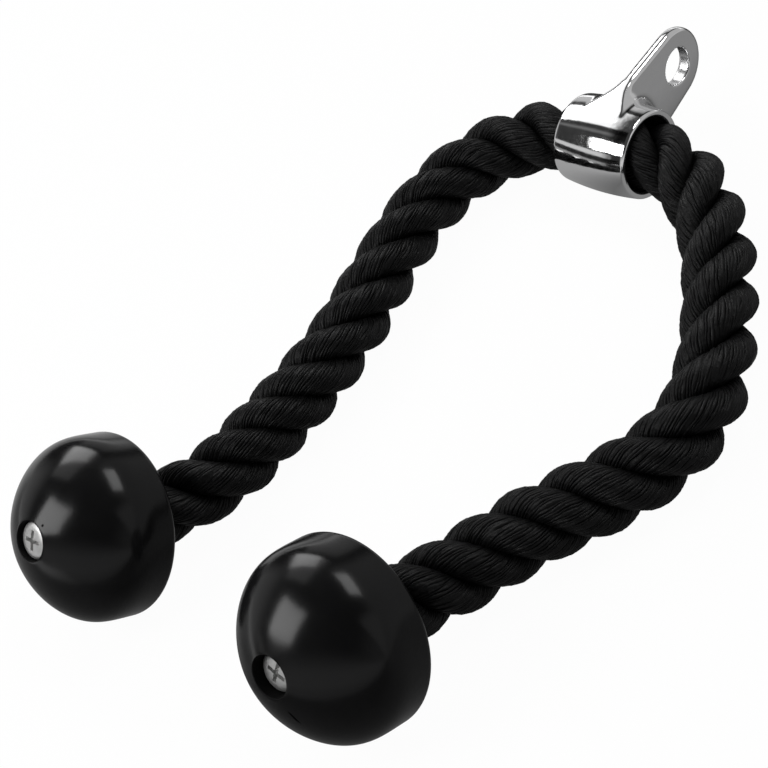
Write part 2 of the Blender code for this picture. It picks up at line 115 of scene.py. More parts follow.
ROOT_SMOOTH_SINK = 1.0 * MM
FILLET_SINK_SHARE = 0.25
FILLET_REACH_SHARE = 1.2
BARREL_RINGS = 25

# Rubber end
END_RADIUS = 38.0 * MM
END_BAND = 16.0 * MM
END_DOME = 29.0 * MM
END_DOME_EXPONENT = 1.6
END_REAR_ROUND = 2.6 * MM
END_ENTRY_ROUND = 4.0 * MM
END_WEB = 5.0 * MM
END_RECESS_RADIUS = 8.1 * MM
END_RECESS_ROUND = 0.5 * MM
END_MOUTH_LEAD = 2.0 * MM
END_BORE_CLEARANCE = 0.6 * MM
END_STEP = 0.7 * MM
END_SOFT_ROUNDS = 60
END_RINGS = 200

# Moulding marks on the domes: radius, turn, length, width and depth
MOULD_MARKS = {
    "left": (10.6 * MM, 54.7, 1.2 * MM, 1.0 * MM, 0.7 * MM),
    "right": (17.0 * MM, -62.5, 7.6 * MM, 1.1 * MM, 1.1 * MM),
}

# Screw and washer
WASHER_THICKNESS = 1.6 * MM
HEAD_RADIUS = 7.8 * MM
HEAD_HEIGHT = 4.0 * MM
HEAD_EDGE = 1.6 * MM
HEAD_CROWN = 0.7 * MM
HEAD_CROWN_SHARES = (0.2, 0.4, 0.6, 0.75)
HEAD_SINK = 3.0 * MM
CROSS_WIDTH = 1.8 * MM
CROSS_REACH = 4.7 * MM
CROSS_DEPTH = 2.6 * MM
CROSS_RISE = 1.0 * MM
CROSS_CORE = 6.4 * MM
CROSS_TAPER_SHARE = 0.75
CROSS_TURN_DEG = {"left": 3.0, "right": -17.5}
SCREW_STAND = {"left": 1.6 * MM, "right": -0.6 * MM}
SHANK_RADIUS = 3.0 * MM
SHANK_GRIP = 10.0 * MM
TOUCH_GAP = 0.3 * MM

# Where each rubber end lies, and which way its crown points, as seen from the hanger
LEFT_END_PLACE = (-73.9 * MM, -255.8 * MM)
LEFT_END_TURN_DEG = 1.0
LEFT_END_TIP_DEG = 42.9
RIGHT_END_PLACE = (60.5 * MM, -248.3 * MM)
RIGHT_END_TURN_DEG = 3.8
RIGHT_END_TIP_DEG = 31.9

# The rope's route over the table, from the hanger to each rubber end, as seen from above
LEFT_ROUTE = [
    (-34.0 * MM, -2.8 * MM), (-49.5 * MM, -10.6 * MM), (-60.8 * MM, -22.6 * MM),
    (-66.6 * MM, -38.0 * MM), (-68.4 * MM, -55.5 * MM), (-66.4 * MM, -76.0 * MM),
    (-61.4 * MM, -100.0 * MM), (-55.4 * MM, -128.0 * MM), (-52.6 * MM, -157.0 * MM),
    (-53.7 * MM, -186.0 * MM), (-57.0 * MM, -212.0 * MM),
]
RIGHT_ROUTE = [
    (33.6 * MM, -2.2 * MM), (51.5 * MM, -12.3 * MM), (70.0 * MM, -28.9 * MM),
    (91.2 * MM, -58.3 * MM), (107.8 * MM, -88.0 * MM), (113.8 * MM, -117.5 * MM),
    (103.3 * MM, -147.8 * MM), (85.3 * MM, -176.1 * MM), (70.1 * MM, -206.6 * MM),
]

# The rope's lay, which is one turn's length, at running lengths along it from the hanger
LAY_MARKS = [
    (-290.0 * MM, 70.0 * MM), (-240.0 * MM, 54.0 * MM), (-180.0 * MM, 69.0 * MM),
    (-120.0 * MM, 75.0 * MM), (-60.0 * MM, 66.5 * MM), (0.0, 67.5 * MM), (70.0 * MM, 75.0 * MM),
    (140.0 * MM, 73.0 * MM), (210.0 * MM, 58.0 * MM), (290.0 * MM, 62.0 * MM),
]
ROUTE_DROP_SHARES = (0.8, 0.38, 0.08)
ROUTE_SAMPLES_PER_SPAN = 60
MIDDLE_SHOWS = 7.0 * MM
BEND_LENGTH = 54.0 * MM

# How fine the meshes are, and from which angle an edge is sharp
BARREL_SIDES = 144
END_SIDES = 192
SMALL_SIDES = 96
MARK_SIDES = 24
MARK_RINGS = 16
LUG_EDGE_STEPS = 3
SHARP_DEG = 30.0
ROPE_SHARP_DEG = 60.0
CASTING_SHARP_DEG = 80.0
SCREW_SHARP_DEG = 25.0
WELD_GAP = 0.01 * MM

# Depths of the surfaces' grain
FIBRE_GRAIN = 0.14 * MM
RUBBER_GRAIN = 0.02 * MM
RECESS_GRAIN = 0.05 * MM
CHROME_GRAIN = 0.1 * MM
CAST_GRAIN = 0.1 * MM
DRILL_GRAIN = 0.08 * MM
ZINC_GRAIN = 0.03 * MM
FIBRE_STRETCH = (220.0, 60.0, 1.0)
KNOT_SHARE = 3.0

ROPE_HEIGHT = ROPE_RADIUS + TOUCH_GAP
RIM_RADIUS = BARREL_RADIUS - BARREL_SWELL
END_APEX = END_BAND + END_DOME
STRAIGHT_LENGTH = BARREL_LENGTH - 2 * MOUTH_EASE
SIDES = ("left", "right")

# Camera, with its lens and sensor in millimetres
CAMERA_PLACE = (466.5 * MM, -399.6 * MM, 539.9 * MM)
CAMERA_FORWARD = (-0.6406, 0.3348, -0.6911)
CAMERA_UP = (-0.2945, 0.7240, 0.6237)
CAMERA_LENS_MM = 86.0
CAMERA_SENSOR_MM = 36.0

# Studio: levels by the angle about X, 0 in front and 90 overhead, and from the left (-1) to the right (1)
FRONT_STRIPS = [
    (-180.0, 0.30), (5.0, 0.30), (7.0, 0.02), (17.0, 0.02), (19.0, 0.62), (27.0, 0.62), (29.0, 0.03),
    (68.0, 0.04), (74.0, 0.18), (80.0, 0.04), (88.0, 0.03), (90.0, 0.03),
]
BACK_STRIPS = [
    (88.0, 0.03), (91.0, 1.15), (138.0, 1.15), (142.0, 0.05), (150.0, 0.06), (158.0, 0.5), (180.0, 0.55),
]
FRONT_SPAN_DEG = (-180.0, 90.0)
BACK_SPAN_DEG = (88.0, 180.0)
BACK_FADE_DEG = (88.0, 90.0)
BACK_FADE = (-0.82, -0.79)
SIDE_SHARES = [(-0.92, 0.0), (-0.83, 1.0), (-0.48, 1.0), (-0.42, 0.04), (0.6, 0.04), (0.72, 0.5)]
RIGHT_LEVELS = [(0.7, 0.0), (0.95, 0.28)]
LEFT_LEVELS = [(-0.92, 0.55), (-0.78, 0.0)]
LEFT_FADE = (0.0, 0.2)
ROOM_LEVELS = [
    (-180.0, 0.6), (20.0, 0.6), (40.0, 0.1), (48.0, 0.04), (112.0, 0.05), (138.0, 0.45), (180.0, 0.45),
]
ROOM_SPAN_DEG = (-180.0, 180.0)
ROOM_FADE = (-0.35, -0.2)
SIDE_SPAN = (-1.0, 1.0)

# Soft boxes: name, way and distance from the object, width, height, roll and level
LIGHT_TARGET = (0.0, -0.02, 0.02)
SOFTBOXES = [
    ("softbox_front", (-0.35, -0.595, 0.725), 0.98, 0.55, 0.42, 22.0, 7.0),
    ("softbox_back", (0.167, 0.498, 0.851), 1.29, 0.68, 0.455, -2.4, 5.2),
    ("softbox_side", (-0.705, 0.363, 0.61), 1.46, 0.71, 0.64, -36.6, 5.0),
]

# Table: levels that reflections see, by its X and Y. They are painted shade: darker near the rubber ends,
# beside the barrel and behind the lug, as the object's shadow would darken the table
FLOOR_REACH = 6.0
TABLE_TONE = 0.8
TABLE_SPAN = (-1.0, 1.0)
TABLE_REFLECTION_SHADE_ACROSS = [
    (-1.0, 0.7), (-0.17, 0.7), (-0.08, 0.42), (-0.03, 0.36), (0.008, 0.15), (0.03, 0.25), (1.0, 0.25),
]
TABLE_REFLECTION_SHADE_ALONG = [
    (-1.0, 1.8), (-0.46, 1.8), (-0.33, 0.35), (-0.2, 0.35), (-0.1, 1.0), (0.3, 1.0), (0.45, 2.0), (1.0, 2.0),
]
TABLE_PAINTED_SHADE_SHARE = 0.1
TABLE_PAINTED_SHADE_BACK = [(-1.0, 0.0), (0.13, 0.0), (0.15, 1.0), (0.3, 1.0), (0.4, 0.0), (1.0, 0.0)]
TABLE_PAINTED_SHADE_LEFT = (0.02, -0.01)
BACKGROUND_SHARE = 0.97

TURN = next(j for j in frame["joints"] if j["name"] == "rope_turn")
HANGER_CENTRE = Vector(TURN["pos_m"])
ON_TABLE = Vector((HANGER_CENTRE.x, HANGER_CENTRE.y, 0.0))


class Graph:
    """The nodes of a material or of the world. A socket takes a node's output or a number."""

    def __init__(self, tree):
        self.nodes = tree.nodes
        self.links = tree.links

    def feed(self, socket, value):
        if isinstance(value, bpy.types.NodeSocket):
            self.links.new(value, socket)
        else:
            socket.default_value = value

    def add(self, kind, output, inputs):
        """A new node with its inputs, and the output asked for."""
        node = self.nodes.new(kind)
        for name, value in inputs.items():
            self.feed(node.inputs[name], value)
        return node.outputs[output]

    def dress(self, inputs):
        """Feeds the material's own shader."""
        for name, value in inputs.items():
            self.feed(self.nodes["Principled BSDF"].inputs[name], value)

    def place(self, kind="Object"):
        return self.add("ShaderNodeTexCoord", kind, {})

    def rays(self, kind):
        return self.add("ShaderNodeLightPath", kind, {})

    def split(self, vector):
        """The X, Y and Z of a vector."""
        node = self.nodes.new("ShaderNodeSeparateXYZ")
        self.feed(node.inputs["Vector"], vector)
        return [node.outputs[axis] for axis in "XYZ"]

    def noise(self, vector, scale, detail, roughness=0.5):
        return self.add("ShaderNodeTexNoise", "Fac",
                        {"Vector": vector, "Scale": scale, "Detail": detail, "Roughness": roughness})

    def spread(self, value, low, high, low_in=0.3, high_in=0.7):
        """Spreads a value's range between low and high, and holds it there beyond that range."""
        inputs = {"Value": value, "From Min": low_in, "From Max": high_in, "To Min": low, "To Max": high}
        return self.add("ShaderNodeMapRange", "Result", inputs)

    def ramp(self, value, marks):
        """Colours at places from 0 to 1."""
        node = self.nodes.new("ShaderNodeValToRGB")
        elements = node.color_ramp.elements
        for number, (place, colour) in enumerate(marks):
            element = elements[number] if number < 2 else elements.new(place)
            element.position = place
            element.color = (*colour, 1.0)
        self.feed(node.inputs["Fac"], value)
        return node.outputs["Color"]

    def colours(self, value, first, second):
        return self.ramp(value, [(0.0, first), (1.0, second)])

    def levels(self, value, levels, span):
        """Grey levels at marks within a span of the value."""
        low, high = span
        marks = [((mark - low) / (high - low), (level, level, level)) for mark, level in levels]
        return self.ramp(self.spread(value, 0.0, 1.0, low, high), marks)

    def math(self, operation, *values):
        """One operation over two or more values, from left to right."""
        total = values[0]
        for value in values[1:]:
            node = self.nodes.new("ShaderNodeMath")
            node.operation = operation
            self.feed(node.inputs[0], total)
            self.feed(node.inputs[1], value)
            total = node.outputs["Value"]
        return total

    def bump(self, height, distance, strength=1.0):
        return self.add("ShaderNodeBump", "Normal",
                        {"Height": height, "Distance": distance, "Strength": strength})


def new_material(name):
    made = bpy.data.materials.new(name)
    made.use_nodes = True
    return made, Graph(made.node_tree)


def rope_material():
    """Black synthetic yarn: fine fibres along each yarn, short knots, and a soft sheen."""
    made, graph = new_material("rope_yarn")
    stretch = {"Vector": graph.place("UV"), "Scale": FIBRE_STRETCH}
    along_yarn = graph.add("ShaderNodeMapping", "Vector", stretch)
    fibres = graph.noise(along_yarn, scale=1.0, detail=3.0, roughness=0.6)
    knots = graph.noise(graph.place(), scale=420.0, detail=2.0)
    patches = graph.noise(graph.place(), scale=45.0, detail=3.0)
    tone = graph.spread(patches, 0.0, 1.0)
    height = graph.math("ADD", fibres, graph.math("MULTIPLY", knots, KNOT_SHARE))
    graph.dress({
        "Base Color": graph.colours(tone, (0.0019, 0.0019, 0.0021), (0.0038, 0.0038, 0.004)),
        "Roughness": graph.spread(fibres, 0.38, 0.55),
        "Specular IOR Level": 0.17,
        "Normal": graph.bump(height, FIBRE_GRAIN),
    })
    return made


def rubber_material():
    """Satin moulded rubber with a faint orange peel."""
    made, graph = new_material("rubber_moulded")
    fine = graph.noise(graph.place(), scale=900.0, detail=2.0)
    broad = graph.noise(graph.place(), scale=60.0, detail=3.0)
    tone = graph.spread(broad, 0.0, 1.0)
    graph.dress({
        "Base Color": graph.colours(tone, (0.0042, 0.0042, 0.0044), (0.0056, 0.0056, 0.0058)),
        "Roughness": graph.spread(broad, 0.15, 0.21),
        "Specular IOR Level": 0.22,
        "Normal": graph.bump(fine, RUBBER_GRAIN, strength=0.6),
    })
    return made


def recess_shade_material():
    """Dull rubber of the screw's recess, which isn't polished; its colour is painted darker than the dome,
    as shade in the recess.
    """
    made, graph = new_material("rubber_recess_painted_shade")
    grain = graph.noise(graph.place(), scale=900.0, detail=3.0)
    graph.dress({
        # painted shade: a darker colour than the dome's rubber
        "Base Color": graph.colours(grain, (0.0022, 0.0022, 0.0022), (0.0034, 0.0034, 0.0034)),
        "Roughness": graph.spread(grain, 0.6, 0.75),
        "Specular IOR Level": 0.08,
        "Normal": graph.bump(grain, RECESS_GRAIN),
    })
    return made


def chrome_material():
    """Polished chrome plate over a casting, so its reflections waver a little."""
    made, graph = new_material("chrome_plate")
    waver = graph.noise(graph.place(), scale=140.0, detail=2.0)
    smear = graph.noise(graph.place(), scale=320.0, detail=4.0)
    graph.dress({
        "Base Color": graph.colours(smear, (0.82, 0.82, 0.83), (0.88, 0.88, 0.88)),
        "Metallic": 1.0,
        "Roughness": graph.spread(smear, 0.05, 0.12),
        "Normal": graph.bump(waver, CHROME_GRAIN, strength=0.6),
    })
    return made


def bore_shade_material():
    """The casting's unpolished inside, its colour painted near black as shade in the bore."""
    made, graph = new_material("cast_inside_painted_shade")
    grain = graph.noise(graph.place(), scale=700.0, detail=4.0)
    graph.dress({
        # painted shade: a near black colour for the bore
        "Base Color": graph.colours(grain, (0.05, 0.05, 0.05), (0.10, 0.10, 0.10)),
        "Metallic": 0.7,
        "Roughness": graph.spread(grain, 0.55, 0.75),
        "Normal": graph.bump(grain, CAST_GRAIN),
    })
    return made


def eye_material():
    """The eye's wall, plated over drill marks, so it is duller than the outside."""
    made, graph = new_material("chrome_drilled")
    smear = graph.noise(graph.place(), scale=500.0, detail=3.0)
    graph.dress({
        "Base Color": graph.colours(smear, (0.72, 0.72, 0.73), (0.84, 0.84, 0.84)),
        "Metallic": 1.0,
        "Roughness": graph.spread(smear, 0.24, 0.36),
        "Normal": graph.bump(smear, DRILL_GRAIN),
    })
    return made


def zinc_material():
    """Zinc-plated steel, finely speckled."""
    made, graph = new_material("zinc_plate")
    speckle = graph.noise(graph.place(), scale=1400.0, detail=4.0)
    graph.dress({
        "Base Color": graph.colours(speckle, (0.48, 0.48, 0.48), (0.66, 0.66, 0.65)),
        "Metallic": 0.85,
        "Roughness": graph.spread(speckle, 0.34, 0.5),
        "Normal": graph.bump(speckle, ZINC_GRAIN),
    })
    return made


def nylon_material():
    """Plain moulded nylon of the plugs inside the rubber ends."""
    made, graph = new_material("nylon_moulded")
    cloud = graph.noise(graph.place(), scale=250.0, detail=3.0)
    graph.dress({
        "Base Color": graph.colours(cloud, (0.70, 0.69, 0.65), (0.78, 0.77, 0.73)),
        "Roughness": 0.5,
    })
    return made


def arc(centre_r, centre_z, radius, start_deg, end_deg, steps):
    """Points of a round in a profile, from one angle to another."""
    turns = np.radians(np.linspace(start_deg, end_deg, steps + 1))
    return [(centre_r + radius * math.cos(a), centre_z + radius * math.sin(a)) for a in turns]


def new_object(name, data, material=None):
    obj = bpy.data.objects.new(name, data)
    bpy.context.scene.collection.objects.link(obj)
    if material:
        data.materials.append(material)
    return obj


def mesh_of(name, work):
    """The mesh of what was built in a bmesh, which is used up."""
    mesh = bpy.data.meshes.new(name)
    work.to_mesh(mesh)
    work.free()
    return mesh


def give_materials(mesh, *materials):
    """The given materials in place of those that the mesh has."""
    mesh.materials.clear()
    for material in materials:
        mesh.materials.append(material)


def matrix_of(first, second, third, place):
    """The matrix that turns X, Y and Z into three directions and moves to a place."""
    matrix = Matrix((first, second, third)).transposed().to_4x4()
    matrix.translation = place
    return matrix


def lathe(name, profile, sides, material=None):
    """A closed profile of (radius, height) turned about Z."""
    work = bmesh.new()
    rings = []
    for radius, height in profile:
        if radius == 0.0:
            rings.append([work.verts.new((0.0, 0.0, height))])
            continue
        turns = [2 * math.pi * i / sides for i in range(sides)]
        rings.append([work.verts.new((radius * math.cos(a), radius * math.sin(a), height)) for a in turns])
    for one, other in zip(rings, rings[1:] + rings[:1]):
        if len(one) == 1 and len(other) == 1:
            continue
        for i in range(sides):
            j = (i + 1) % sides
            corners = [one[i % len(one)], one[j % len(one)], other[j % len(other)], other[i % len(other)]]
            work.faces.new(list(dict.fromkeys(corners)))
    bmesh.ops.recalc_face_normals(work, faces=work.faces)
    mesh = mesh_of(name, work)
    shade(mesh)
    return new_object(name, mesh, material)


def shade(mesh, sharp_deg=SHARP_DEG):
    """Smooth shading, apart from edges sharper than asked."""
    mesh.polygons.foreach_set("use_smooth", [True] * len(mesh.polygons))
    mesh.set_sharp_from_angle(angle=math.radians(sharp_deg))
    mesh.update()


def evaluated_mesh(obj):
    """The mesh of an object as its curve and modifiers make it."""
    bpy.context.view_layer.update()
    scene_now = bpy.context.evaluated_depsgraph_get()
    return bpy.data.meshes.new_from_object(obj.evaluated_get(scene_now))


def settled(obj):
    """Applies a piece's modifiers."""
    mesh = evaluated_mesh(obj)
    old = obj.data
    obj.modifiers.clear()
    obj.data = mesh
    bpy.data.meshes.remove(old)
    return obj


def combine(obj, other, operation):
    """A Boolean, applied at once. The other object is used up."""
    step = obj.modifiers.new(operation.lower(), "BOOLEAN")
    step.object = other
    step.operation = operation
    step.solver = "EXACT"
    settled(obj)
    bpy.data.objects.remove(other, do_unlink=True)
    return obj


def spline_through(points, start_direction, end_direction):
    """A smooth curve through the points, with its end directions given."""
    points = np.array(points, float)
    chord = np.linalg.norm(np.diff(points, axis=0), axis=1)
    count = len(points)
    system = np.zeros((count, count))
    right = np.zeros((count, 3))
    system[0, 0] = 1.0
    right[0] = start_direction
    system[-1, -1] = 1.0
    right[-1] = end_direction
    for i in range(1, count - 1):
        before, after = chord[i - 1], chord[i]
        system[i, i - 1] = after
        system[i, i] = 2 * (before + after)
        system[i, i + 1] = before
        slope_before = (points[i] - points[i - 1]) / before
        slope_after = (points[i + 1] - points[i]) / after
        right[i] = 3 * (after * slope_before + before * slope_after)
    slopes = np.linalg.solve(system, right)
    made = [points[0]]
    for i in range(count - 1):
        for t in np.linspace(0.0, 1.0, ROUTE_SAMPLES_PER_SPAN + 1)[1:]:
            h = (2 * t**3 - 3 * t**2 + 1, t**3 - 2 * t**2 + t, 3 * t**2 - 2 * t**3, t**3 - t**2)
            made.append(h[0] * points[i] + h[1] * chord[i] * slopes[i]
                        + h[2] * points[i + 1] + h[3] * chord[i] * slopes[i + 1])
    return np.array(made)


def dome_height(radius):
    """Height of the crown's surface at a radius."""
    share = (radius / END_RADIUS) ** END_DOME_EXPONENT
    return END_BAND + END_DOME * (1.0 - share) ** (1.0 / END_DOME_EXPONENT)


def softened(points):
    """A profile line with even steps and its corner eased. Its ends stay."""
    points = np.array(points)
    run = np.concatenate(([0.0], np.cumsum(np.linalg.norm(np.diff(points, axis=0), axis=1))))
    even = np.linspace(0.0, run[-1], round(run[-1] / END_STEP) + 1)
    line = np.stack([np.interp(even, run, points[:, i]) for i in range(2)], axis=-1)
    for _ in range(END_SOFT_ROUNDS):
        line[1:-1] = (line[:-2] + 2 * line[1:-1] + line[2:]) / 4
    return [tuple(p) for p in line]


def end_profile():
    """The rubber end's section: rear face at height 0, crown at the top."""
    recess_floor = END_APEX - END_MOUTH_LEAD - HEAD_SINK - HEAD_HEIGHT - WASHER_THICKNESS
    bore_end = recess_floor - END_WEB
    hole = SHANK_RADIUS + TOUCH_GAP
    bore = ROPE_RADIUS + END_BORE_CLEARANCE
    wide_bore = SPREAD_LAY_RADIUS + SPREAD_STRAND_RADIUS + END_BORE_CLEARANCE
    mouth_radius = END_RECESS_RADIUS + END_RECESS_ROUND
    mouth = dome_height(mouth_radius)
    points = [(hole, recess_floor), (END_RECESS_RADIUS, recess_floor)]
    points += arc(mouth_radius, mouth - END_RECESS_ROUND, END_RECESS_ROUND, 180, 105, steps=5)
    inner = math.asin(min(1.0, (mouth - END_BAND) / END_DOME) ** (END_DOME_EXPONENT / 2))
    outside = [(END_RADIUS * math.cos(turn) ** (2 / END_DOME_EXPONENT),
                END_BAND + END_DOME * math.sin(turn) ** (2 / END_DOME_EXPONENT))
               for turn in np.linspace(inner, 0.0, END_RINGS)[1:]]
    points += softened(outside + [(END_RADIUS, END_REAR_ROUND)])
    points += arc(END_RADIUS - END_REAR_ROUND, END_REAR_ROUND, END_REAR_ROUND, 0, -90, steps=8)
    points += arc(bore + END_ENTRY_ROUND, END_ENTRY_ROUND, END_ENTRY_ROUND, 270, 180, steps=10)
    points.append((bore, bore_end - PLUG_LENGTH))
    points.append((wide_bore, bore_end - PLUG_LENGTH * PLUG_TAPER_SHARE))
    points.append((wide_bore, bore_end))
    points.append((hole, bore_end))
    return points, recess_floor, bore_end


END_SECTION, RECESS_FLOOR, BORE_END = end_profile()


def end_matrix(place, turn_deg, tip_deg):
    """A rubber end's place: its axis leaves the rope's way and tips up, and it rests on the table."""
    turn, tip = math.radians(turn_deg), math.radians(tip_deg)
    axis = Vector((math.sin(turn) * math.cos(tip), -math.cos(turn) * math.cos(tip), math.sin(tip)))
    side = Vector((math.cos(turn), math.sin(turn), 0.0))
    back = axis.cross(side)
    lowest = min(z * math.sin(tip) - r * math.cos(tip) for r, z in END_SECTION)
    return Matrix.Translation(ON_TABLE) @ matrix_of(side, back, axis, (*place, -lowest))


ENDS = {
    "left": end_matrix(LEFT_END_PLACE, LEFT_END_TURN_DEG, LEFT_END_TIP_DEG),
    "right": end_matrix(RIGHT_END_PLACE, RIGHT_END_TURN_DEG, RIGHT_END_TIP_DEG),
}


def leg_route(side, points):
    """One leg's centreline, from the middle of the hanger to the rope's cut end."""
    sign = -1.0 if side == "left" else 1.0
    out = np.array((sign, 0.0, 0.0))
    matrix = ENDS[side]
    axis = np.array(matrix.to_3x3().col[2])
    rear = np.array(matrix.translation)
    middle = np.array(HANGER_CENTRE)
    leaving = middle + out * (STRAIGHT_LENGTH / 2)
    drop = BARREL_RADIUS - ROPE_HEIGHT
    shares = [*ROUTE_DROP_SHARES, *[0.0] * len(points)]
    through = [leaving]
    through += [(x + middle[0], y + middle[1], ROPE_HEIGHT + drop * share)
                for (x, y), share in zip(points, shares)]
    through.append(rear)
    free = spline_through(through, out, axis)
    straight_in = [middle + out * (STRAIGHT_LENGTH / 2) * t
                   for t in np.linspace(0.0, 1.0, ROUTE_SAMPLES_PER_SPAN)[:-1]]
    straight_out = [rear + axis * (BORE_END - CUT_BACK) * t
                    for t in np.linspace(0.0, 1.0, ROUTE_SAMPLES_PER_SPAN)[1:]]
    return np.vstack((straight_in, free, straight_out))


def unit(vectors):
    return vectors / np.linalg.norm(vectors, axis=-1, keepdims=True)


class Rope:
    """The rope's centreline with its running length, 0 at the middle of the hanger."""

    def __init__(self):
        left = leg_route("left", LEFT_ROUTE)
        right = leg_route("right", RIGHT_ROUTE)
        self.line = np.vstack((left[::-1], right[1:]))
        steps = np.linalg.norm(np.diff(self.line, axis=0), axis=1)
        self.run = np.concatenate(([0.0], np.cumsum(steps)))
        self.run -= self.run[len(left) - 1]
        self.along = unit(np.gradient(self.line, self.run, axis=0))
        self.across = self.carried_frame()
        self.start, self.end = self.run[0], self.run[-1]
        self.turns = self.laid_turns()

    def carried_frame(self):
        """A direction square to the rope, carried along it without twist."""
        across = [np.array((0.0, 0.0, 1.0))]
        for tangent in self.along:
            carried = across[-1] - tangent * (across[-1] @ tangent)
            across.append(carried / np.linalg.norm(carried))
        del across[0]
        return np.array(across)

    def laid_turns(self):
        """The strands' turns along the rope. The lay opens at the wide bends and closes at the ends."""
        marks, lays = zip(*LAY_MARKS)
        rate = np.interp(self.run, marks, 1 / np.array(lays))
        steps = np.diff(self.run) * (rate[1:] + rate[:-1]) / 2
        turns = np.concatenate(([0.0], np.cumsum(steps)))
        return turns - np.interp(0.0, self.run, turns) + LAY_START_DEG / 360

    def at(self, runs, table):
        return np.stack([np.interp(runs, self.run, table[:, i]) for i in range(3)], axis=-1)

    def spread_share(self, runs):
        """How far the strands have spread round the plug inside a rubber end."""
        to_bore_end = np.minimum(runs - self.start, self.end - runs) + CUT_BACK
        share = (PLUG_LENGTH - to_bore_end) / (PLUG_LENGTH * (1.0 - PLUG_TAPER_SHARE))
        share = np.clip(share, 0.0, 1.0)
        return share * share * (3 - 2 * share)

    def strand(self, number, runs):
        """A strand's centres, its two cross directions, its radius, and how its yarns turn."""
        turn = 2 * math.pi * (np.interp(runs, self.run, self.turns) + number / STRAND_COUNT)
        along = unit(self.at(runs, self.along))
        across = unit(self.at(runs, self.across))
        other = np.cross(along, across)
        out = across * np.cos(turn)[:, None] + other * np.sin(turn)[:, None]
        share = self.spread_share(runs)
        marks, lays = zip(*LAY_MARKS)
        swell = (MEAN_LAY - np.interp(runs, marks, lays)) * SWELL_SHARE * (1.0 - share)
        lay = LAY_RADIUS + (SPREAD_LAY_RADIUS - LAY_RADIUS) * share + swell / 2
        radius = STRAND_RADIUS + (SPREAD_STRAND_RADIUS - STRAND_RADIUS) * share + swell / 2
        centres = self.at(runs, self.line) + out * lay[:, None]
        way = unit(np.gradient(centres, runs, axis=0))
        first = unit(out - way * (out * way).sum(axis=1)[:, None])
        second = np.cross(way, first)
        steps = np.linalg.norm(np.diff(centres, axis=0), axis=1)
        lean = (lay + radius) / radius * np.gradient(turn, runs) * YARN_TWIST_SHARE
        yarn_steps = steps * (lean[1:] + lean[:-1]) / 2
        yarn_turn = -np.concatenate(([0.0], np.cumsum(yarn_steps)))
        return centres, first, second, radius, yarn_turn, np.concatenate(([0.0], np.cumsum(steps)))


def waves(rng, length):
    """Smooth uneven numbers from about -1 to 1 along the strand, one column a yarn."""
    total = np.zeros((len(length), YARNS))
    for wave in YARN_WAVES:
        pace = 2 * math.pi / wave * rng.uniform(*YARN_WAVE_SHARES, YARNS)
        total += np.sin(length[:, None] * pace + rng.uniform(0.0, 2 * math.pi, YARNS))
    return total / math.sqrt(len(YARN_WAVES))


def strand_surface(rope, number, runs):
    """Vertices of one strand, ring by ring. Its columns follow the yarns, which wander a little."""
    centres, first, second, radius, yarn_turn, length = rope.strand(number, runs)
    rng = np.random.default_rng(YARN_SEED + number)
    crown = rng.uniform(-YARN_STEP_HEIGHT, YARN_STEP_HEIGHT, YARNS) + YARN_WANDER * waves(rng, length)
    gap = YARN_DEPTH + YARN_DEPTH_SPREAD * waves(rng, length).clip(-YARN_GAP_LIMIT, YARN_GAP_LIMIT)
    drift = YARN_DRIFT_SHARE * waves(rng, length).clip(-YARN_DRIFT_LIMIT, YARN_DRIFT_LIMIT)
    next_gap, next_drift = np.roll(gap, -1, axis=1), np.roll(drift, -1, axis=1)
    shape = np.empty((len(runs), YARNS, YARN_COLUMNS))
    place = np.empty_like(shape)
    shape[:, :, 0] = (crown + np.roll(crown, 1, axis=1)) / 2 - gap
    shape[:, :, 1] = crown - YARN_SHOULDER_SHARE * gap
    shape[:, :, 2] = crown
    shape[:, :, 3] = crown - YARN_SHOULDER_SHARE * next_gap
    for column in range(YARN_COLUMNS):
        share = column / YARN_COLUMNS
        place[:, :, column] = np.arange(YARNS) + share + drift * (1 - share) + next_drift * share
    columns = YARNS * YARN_COLUMNS
    reach = radius[:, None] + shape.reshape(-1, columns)
    turned = place.reshape(-1, columns) / YARNS * 2 * math.pi + yarn_turn[:, None]
    points = (centres[:, None, :]
              + first[:, None, :] * (reach * np.cos(turned))[:, :, None]
              + second[:, None, :] * (reach * np.sin(turned))[:, :, None])
    return points, length


def rope_mesh(name, rope, runs):
    """The three strands between two places along the rope, each closed, with coordinates along the yarns."""
    columns = YARNS * YARN_COLUMNS
    vertices, faces, places = [], [], []
    for number in range(STRAND_COUNT):
        points, length = strand_surface(rope, number, runs)
        base = sum(len(v) for v in vertices)
        vertices.append(points.reshape(-1, 3))
        for ring in range(len(runs) - 1):
            for column in range(columns):
                beside = (column + 1) % columns
                corners = ((ring, column, column), (ring, beside, column + 1),
                           (ring + 1, beside, column + 1), (ring + 1, column, column))
                faces.append([base + r * columns + c for r, c, _ in corners])
                places.append([(u / columns, length[r]) for r, _, u in corners])
        for ring, order in ((0, -1), (len(runs) - 1, 1)):
            faces.append([base + ring * columns + c for c in range(columns)][::order])
            places.append([(0.0, 0.0)] * columns)
    mesh = bpy.data.meshes.new(name)
    mesh.from_pydata(np.vstack(vertices).tolist(), [], faces)
    layer = mesh.uv_layers.new(name="along_yarn")
    layer.data.foreach_set("uv", np.array([p for face in places for p in face], float).ravel())
    shade(mesh, ROPE_SHARP_DEG)
    return mesh


